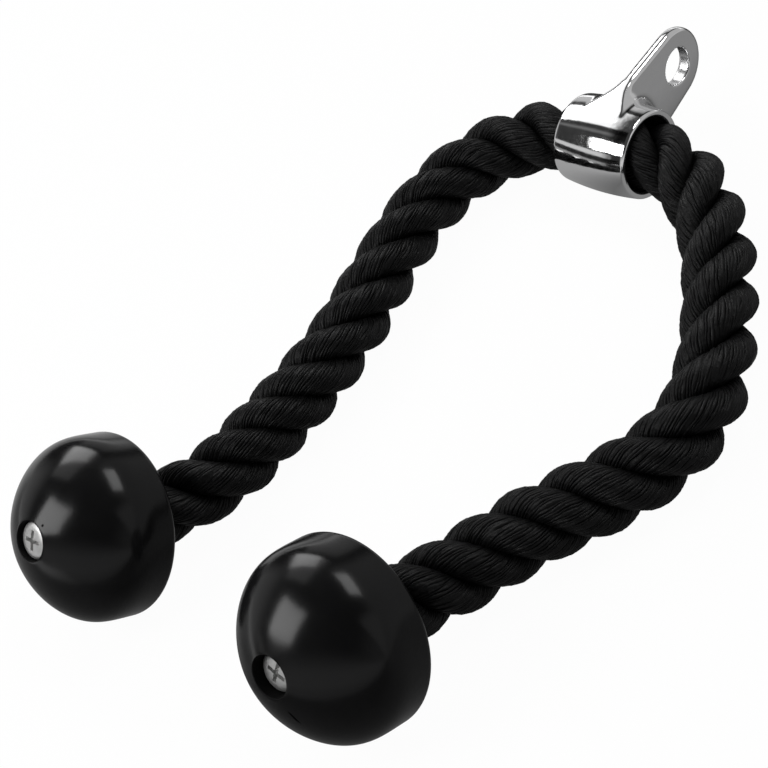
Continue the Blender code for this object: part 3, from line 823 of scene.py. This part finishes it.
def make_leg(rope, side, material):
    """One leg of the rope, from the middle of the hanger to its cut end."""
    low, high = (rope.start, 0.0) if side == "left" else (0.0, rope.end)
    runs = np.linspace(low, high, math.ceil((high - low) / RING_STEP) + 1)
    name = f"rope_{side}_leg"
    piece = new_object(name, rope_mesh(name, rope, runs), material)
    sign = -1.0 if side == "left" else 1.0
    edge = BARREL_LENGTH / 2 + MIDDLE_SHOWS
    start, end = rope.at(np.array((sign * edge, sign * (edge + BEND_LENGTH))), rope.line)
    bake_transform(piece)
    names = [f"rope_strand_{letter}_{side}_{part}" for letter in "abc" for part in ("bend", "leg")]
    if side == "left":
        names += [f"rope_strand_{letter}_middle" for letter in "abc"]
    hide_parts(*names)
    return piece


def prism(name, outline, half_height, edge_round=0.0):
    """An upright slab with the given outline, and rounded edges if asked."""
    curve = bpy.data.curves.new(name, "CURVE")
    curve.dimensions = "2D"
    curve.fill_mode = "BOTH"
    curve.extrude = half_height - edge_round
    curve.bevel_depth = edge_round
    curve.bevel_resolution = LUG_EDGE_STEPS
    curve.offset = -edge_round
    spline = curve.splines.new("POLY")
    spline.points.add(len(outline) - 1)
    for point, (x, y) in zip(spline.points, outline):
        point.co = (x, y, 0.0, 1.0)
    spline.use_cyclic_u = True
    drawn = new_object(name, curve)
    mesh = evaluated_mesh(drawn)
    bpy.data.objects.remove(drawn, do_unlink=True)
    work = bmesh.new()
    work.from_mesh(mesh)
    bmesh.ops.remove_doubles(work, verts=work.verts, dist=WELD_GAP)
    bmesh.ops.recalc_face_normals(work, faces=work.faces)
    work.to_mesh(mesh)
    work.free()
    return new_object(name, mesh)


def lug_outline():
    """The lug seen along the barrel: it wraps the eye and runs tangent into the barrel's wall."""
    near = BARREL_RADIUS - LUG_SIDE_STEP
    lean = math.degrees(math.acos((near - EYE_OUTER_RADIUS) / EYE_DISTANCE))
    side = math.radians(lean)
    outline = arc(EYE_DISTANCE, 0.0, EYE_OUTER_RADIUS, -lean, lean, steps=72)
    outline.append((near * math.cos(side), near * math.sin(side)))
    outline.append((near * math.cos(side), -near * math.sin(side)))
    return outline


def make_lug():
    """The lug's plate with well rounded edges. Its root ends inside the barrel's wall."""
    lug = prism("lug", lug_outline(), LUG_THICKNESS / 2, LUG_EDGE_ROUND)
    root = BARREL_RADIUS - BARREL_WALL * LUG_ROOT_SHARE
    core = [(0.0, -LUG_THICKNESS), (root, -LUG_THICKNESS), (root, LUG_THICKNESS), (0.0, LUG_THICKNESS)]
    return combine(lug, lathe("lug_core", core, BARREL_SIDES), "DIFFERENCE")


def barrel_surface(height):
    """The barrel's outer radius at a distance from its middle."""
    share = min(1.0, abs(height) / (BARREL_LENGTH / 2 - RIM_ROUND))
    return RIM_RADIUS + BARREL_SWELL * (1 - share * share)


def make_fillet():
    """The fillet between the lug's faces and the barrel's swelled side."""
    half = LUG_THICKNESS / 2 - LUG_EDGE_ROUND
    centre = BARREL_RADIUS + LUG_FILLET
    rise = LUG_THICKNESS / 2 + LUG_FILLET
    side = [(BARREL_RADIUS - BARREL_WALL * FILLET_SINK_SHARE, rise)]
    for r, z in arc(centre, rise, LUG_FILLET, 180, 270, steps=24):
        sink = (BARREL_RADIUS - barrel_surface(z)) * (centre - r) / LUG_FILLET
        side.append((r - sink, z))
    side.append((centre, half))
    profile = side + [(r, -z) for r, z in reversed(side)]
    fillet = lathe("hanger_fillet", profile, BARREL_SIDES)
    reach = prism("fillet_outline", lug_outline(), rise * FILLET_REACH_SHARE)
    return combine(fillet, reach, "INTERSECT")


def polish(mesh):
    """Smooths the casting a little all over, and much more round the lug's root."""
    edges = np.empty(len(mesh.edges) * 2, int)
    mesh.edges.foreach_get("vertices", edges)
    edges = edges.reshape(-1, 2)
    places = np.empty(len(mesh.vertices) * 3)
    mesh.vertices.foreach_get("co", places)
    places = places.reshape(-1, 3)
    neighbours = np.bincount(edges.ravel(), minlength=len(places))[:, None]
    radius = np.hypot(places[:, 0], places[:, 1])
    far_side = BARREL_RADIUS + LUG_FILLET + ROOT_SMOOTH_BLEND
    root = np.minimum(radius - BARREL_RADIUS + ROOT_SMOOTH_SINK, far_side - radius) / ROOT_SMOOTH_BLEND
    root = np.where(places[:, 0] > 0.0, root, 0.0).clip(0.0, 1.0)[:, None]
    for number in range(ROOT_SMOOTH_ROUNDS):
        total = np.zeros_like(places)
        for one, other in ((0, 1), (1, 0)):
            for axis in range(3):
                total[:, axis] += np.bincount(edges[:, one], weights=places[edges[:, other], axis],
                                              minlength=len(places))
        share = 1.0 if number < CASTING_SMOOTH_ROUNDS else root
        places += (total / neighbours - places) * share / 2
    mesh.vertices.foreach_set("co", places.ravel())
    mesh.update()


def barrel_profile():
    """The barrel's section: a swelled outside with rounded rims, and a bore with rounded mouths."""
    half = BARREL_LENGTH / 2
    outer = RIM_RADIUS - RIM_ROUND
    profile = arc(outer, half - RIM_ROUND, RIM_ROUND, 90, 0, steps=6)
    for share in np.linspace(1.0, -1.0, BARREL_RINGS)[1:-1]:
        height = share * (half - RIM_ROUND)
        profile.append((barrel_surface(height), height))
    profile += arc(outer, -half + RIM_ROUND, RIM_ROUND, 0, -90, steps=6)
    profile += arc(BORE_RADIUS + MOUTH_ROUND, -half + MOUTH_ROUND, MOUTH_ROUND, 270, 180, steps=8)
    profile += arc(BORE_RADIUS + MOUTH_ROUND, half - MOUTH_ROUND, MOUTH_ROUND, 180, 90, steps=8)
    return profile


def make_eye_cutter():
    """What the eye's hole takes away, with a round at both faces."""
    thick = LUG_THICKNESS / 2
    flare = EYE_HOLE_RADIUS + EYE_HOLE_ROUND
    far = thick * EYE_CUTTER_SHARE
    profile = [(0.0, far), (flare, far)]
    profile += arc(flare, thick - EYE_HOLE_ROUND, EYE_HOLE_ROUND, 90, 180, steps=6)
    profile += arc(flare, EYE_HOLE_ROUND - thick, EYE_HOLE_ROUND, 180, 270, steps=6)
    profile += [(flare, -far), (0.0, -far)]
    cutter = lathe("eye_hole", profile, SMALL_SIDES)
    cutter.location = (EYE_DISTANCE, 0.0, 0.0)
    return cutter


def give_casting_materials(mesh, material, inside, eye_wall):
    """The plate all over, apart from the bore, which is painted dark as shade, and the eye's wall."""
    give_materials(mesh, material, inside, eye_wall)
    bore_half = BARREL_LENGTH / 2 - MOUTH_ROUND
    eye_half = LUG_THICKNESS / 2 - EYE_HOLE_ROUND
    for face in mesh.polygons:
        x, y, z = face.center
        if abs(z) < bore_half and math.hypot(x, y) < BORE_RADIUS + BORE_BAND:
            face.material_index = 1
        if abs(z) < eye_half and math.hypot(x - EYE_DISTANCE, y) < EYE_HOLE_RADIUS + BORE_BAND:
            face.material_index = 2


def hanger_matrix():
    """The casting's place, from its barrel along Z and its eye along X."""
    tilt = math.radians(EYE_TILT_DEG)
    towards_eye = Vector((0.0, math.cos(tilt), math.sin(tilt)))
    along_barrel = Vector((1.0, 0.0, 0.0))
    return matrix_of(towards_eye, along_barrel.cross(towards_eye), along_barrel, HANGER_CENTRE)


def make_hanger(material, inside, eye_wall):
    """The casting: barrel, lug, fillets and eye, joined, then rounded as a casting is."""
    hanger = lathe("hanger_casting", barrel_profile(), BARREL_SIDES)
    combine(hanger, make_lug(), "UNION")
    combine(hanger, make_fillet(), "UNION")
    combine(hanger, make_eye_cutter(), "DIFFERENCE")
    remesh = hanger.modifiers.new("cast", "REMESH")
    remesh.mode = "VOXEL"
    remesh.voxel_size = CASTING_VOXEL
    settled(hanger)
    polish(hanger.data)
    give_casting_materials(hanger.data, material, inside, eye_wall)
    shade(hanger.data, CASTING_SHARP_DEG)
    hanger.data.transform(hanger_matrix())
    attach(hanger, "hanger")
    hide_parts("hanger")
    return hanger


def cut_mark(end, radius, turn_deg, length, width, depth):
    """A small moulding mark in the dome, along its meridian."""
    turn = math.radians(turn_deg)
    out = Vector((math.cos(turn), math.sin(turn), 0.0))
    rise = (dome_height(radius + length / 2) - dome_height(radius - length / 2)) / length
    along = (out + Vector((0.0, 0.0, rise))).normalized()
    side = Vector((0.0, 0.0, 1.0)).cross(out)
    place = out * radius + Vector((0.0, 0.0, dome_height(radius)))
    matrix = matrix_of(along, side, along.cross(side), place)
    work = bmesh.new()
    bmesh.ops.create_uvsphere(work, u_segments=MARK_SIDES, v_segments=MARK_RINGS, radius=1.0)
    mesh = mesh_of("mark", work)
    mesh.transform(matrix @ Matrix.Diagonal((length / 2, width / 2, depth, 1.0)))
    combine(end, new_object("mark", mesh), "DIFFERENCE")


def make_end(side, rubber, recess):
    """A rubber end with its moulding mark. Its recess and the recess's rim are duller than the dome, and
    painted darker as shade.
    """
    end = lathe(f"{side}_dome_end", END_SECTION, END_SIDES, rubber)
    cut_mark(end, *MOULD_MARKS[side])
    shade(end.data)
    end.data.materials.append(recess)
    for face in end.data.polygons:
        x, y, z = face.center
        # the recess and its rounded rim take the painted shade
        if z > RECESS_FLOOR - TOUCH_GAP and math.hypot(x, y) < END_RECESS_RADIUS + END_RECESS_ROUND:
            face.material_index = 1
    end.data.transform(ENDS[side])
    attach(end, f"{side}_leg")
    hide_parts(f"{side}_rubber_end")
    return end


def screw_profile(shank):
    """A pan head over a plain shank, with the head's seat at height 0."""
    edge_top = HEAD_HEIGHT - HEAD_CROWN
    profile = [(0.0, HEAD_HEIGHT)]
    for share in HEAD_CROWN_SHARES:
        profile.append((HEAD_RADIUS * share, HEAD_HEIGHT - HEAD_CROWN * share * share))
    profile += arc(HEAD_RADIUS - HEAD_EDGE, edge_top - HEAD_EDGE, HEAD_EDGE, 75, 0, steps=7)
    profile += [(HEAD_RADIUS, 0.0), (SHANK_RADIUS, 0.0), (SHANK_RADIUS, -shank), (0.0, -shank)]
    return profile


def make_cross_bar(turn_deg):
    """One bar of the cross recess, which narrows towards its floor."""
    levels = ((HEAD_HEIGHT + CROSS_RISE, CROSS_REACH, CROSS_WIDTH / 2),
              (HEAD_HEIGHT - CROSS_DEPTH, CROSS_CORE / 2, CROSS_WIDTH / 2 * CROSS_TAPER_SHARE))
    work = bmesh.new()
    corners = []
    for z, reach, width in levels:
        for x, y in ((-reach, -width), (reach, -width), (reach, width), (-reach, width)):
            corners.append(work.verts.new((x, y, z)))
    bmesh.ops.convex_hull(work, input=corners)
    bmesh.ops.recalc_face_normals(work, faces=work.faces)
    mesh = mesh_of("cross_bar", work)
    mesh.transform(Matrix.Rotation(math.radians(turn_deg), 4, "Z"))
    return new_object("cross_bar", mesh)


def make_screw(side, zinc):
    """A large pan-head screw with a cross recess."""
    seat = RECESS_FLOOR + WASHER_THICKNESS + 2 * TOUCH_GAP
    screw = lathe(f"{side}_cross_screw", screw_profile(seat - BORE_END + SHANK_GRIP), SMALL_SIDES)
    for turn_deg in (0.0, 90.0):
        combine(screw, make_cross_bar(turn_deg + CROSS_TURN_DEG[side]), "DIFFERENCE")
    shade(screw.data, SCREW_SHARP_DEG)
    give_materials(screw.data, zinc)
    screw.data.transform(ENDS[side] @ Matrix.Translation((0.0, 0.0, seat + SCREW_STAND[side])))
    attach(screw, f"{side}_leg")
    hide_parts(f"{side}_end_screw")
    return screw


def dress_node(name, material):
    """A CAD node that stays, with a better material."""
    give_materials(frame["nodes"][name].data, material)


def make_camera():
    """The photograph's camera."""
    data = bpy.data.cameras.new("camera")
    data.lens = CAMERA_LENS_MM
    data.sensor_width = CAMERA_SENSOR_MM
    camera = new_object("camera", data)
    forward = Vector(CAMERA_FORWARD).normalized()
    right = forward.cross(Vector(CAMERA_UP)).normalized()
    place = Vector(CAMERA_PLACE) + ON_TABLE
    camera.matrix_world = matrix_of(right, right.cross(forward), -forward, place)
    bpy.context.scene.camera = camera


def table_material():
    """White for the camera, and for reflections an emitted level with painted shade by place. The rest of
    the light falls on a plain pale table.
    """
    made, graph = new_material("table_white")
    graph.nodes.clear()
    across, along, _ = graph.split(graph.place())
    # painted shade behind the lug and along its left edge, as reflections see the table
    dark = graph.math("MULTIPLY", graph.levels(along, TABLE_PAINTED_SHADE_BACK, TABLE_SPAN),
                      graph.spread(across, 0.0, 1.0, *TABLE_PAINTED_SHADE_LEFT))
    # the reflected level, with painted shade near the object
    tone = graph.math("MULTIPLY", graph.levels(across, TABLE_REFLECTION_SHADE_ACROSS, TABLE_SPAN),
                      graph.levels(along, TABLE_REFLECTION_SHADE_ALONG, TABLE_SPAN),
                      graph.spread(dark, 1.0, TABLE_PAINTED_SHADE_SHARE, 0.0, 1.0))
    camera = graph.rays("Is Camera Ray")
    white = graph.add("ShaderNodeEmission", "Emission", {"Color": graph.math("MAXIMUM", tone, camera)})
    plain = graph.add("ShaderNodeBsdfDiffuse", "BSDF", {"Color": (TABLE_TONE, TABLE_TONE, TABLE_TONE, 1.0)})
    shown = graph.math("MAXIMUM", graph.math("MULTIPLY", camera, BACKGROUND_SHARE),
                       graph.rays("Is Glossy Ray"), graph.rays("Is Transmission Ray"))
    mixed = graph.add("ShaderNodeMixShader", "Shader", {"Fac": shown, 1: plain, 2: white})
    graph.feed(graph.nodes.new("ShaderNodeOutputMaterial").inputs["Surface"], mixed)
    return made


def make_floor():
    """A pale table that fades into the white background and keeps a soft shadow."""
    corners = [(x * FLOOR_REACH, y * FLOOR_REACH, 0.0) for x, y in ((-1, -1), (1, -1), (1, 1), (-1, 1))]
    mesh = bpy.data.meshes.new("table")
    mesh.from_pydata(corners, [], [(0, 1, 2, 3)])
    new_object("table", mesh, table_material())


def make_world():
    """A studio of long strip lights with dark gaps between them, over a white background."""
    world = bpy.data.worlds.new("studio")
    bpy.context.scene.world = world
    world.use_nodes = True
    graph = Graph(world.node_tree)
    x, y, z = graph.split(graph.place("Generated"))
    turn = graph.math("ARCTAN2", z, graph.math("MULTIPLY", y, -1.0))
    degrees = graph.math("MULTIPLY", turn, math.degrees(1.0))
    front = graph.levels(degrees, FRONT_STRIPS, FRONT_SPAN_DEG)
    back = graph.math("MULTIPLY", graph.levels(degrees, BACK_STRIPS, BACK_SPAN_DEG),
                      graph.spread(degrees, 0.0, 1.0, *BACK_FADE_DEG), graph.spread(x, 0.0, 1.0, *BACK_FADE))
    strips = graph.math("MULTIPLY", graph.math("MAXIMUM", front, back),
                        graph.levels(x, SIDE_SHARES, SIDE_SPAN))
    room = graph.math("MULTIPLY", graph.levels(degrees, ROOM_LEVELS, ROOM_SPAN_DEG),
                      graph.spread(x, 0.0, 1.0, *ROOM_FADE))
    left = graph.math("MULTIPLY", graph.levels(x, LEFT_LEVELS, SIDE_SPAN),
                      graph.spread(y, 1.0, 0.0, *LEFT_FADE))
    right = graph.levels(x, RIGHT_LEVELS, SIDE_SPAN)
    level = graph.math("MAXIMUM", strips, room, left, right,
                       graph.rays("Is Camera Ray"), graph.rays("Is Transmission Ray"))
    graph.feed(graph.nodes["Background"].inputs["Color"], level)


def make_softbox(name, way, distance, width, height, roll_deg, level):
    """A soft box seen in a direction from the object, as bright as asked."""
    data = bpy.data.lights.new(name, "AREA")
    data.shape = "RECTANGLE"
    data.size = width
    data.size_y = height
    data.energy = level * math.pi * width * height
    lamp = new_object(name, data)
    way = Vector(way).normalized()
    level_axis = Vector((0.0, 0.0, 1.0)).cross(way).normalized()
    place = Vector(LIGHT_TARGET) + way * distance
    rolled = Matrix.Rotation(math.radians(roll_deg), 4, "Z")
    lamp.matrix_world = matrix_of(level_axis, way.cross(level_axis), way, place) @ rolled


chrome = chrome_material()
zinc = zinc_material()
rubber = rubber_material()
recess = recess_shade_material()
yarn = rope_material()
nylon = nylon_material()

make_camera()
rope = Rope()
make_hanger(chrome, bore_shade_material(), eye_material())
for side in SIDES:
    leg = make_leg(rope, side, yarn)
    end = make_end(side, rubber, recess)
    screw = make_screw(side, zinc)
    dress_node(f"{side}_washer", zinc)
    dress_node(f"{side}_rope_plug", nylon)
make_floor()
make_world()
for softbox in SOFTBOXES:
    make_softbox(*softbox)
bpy.context.scene.view_settings.view_transform = "Standard"
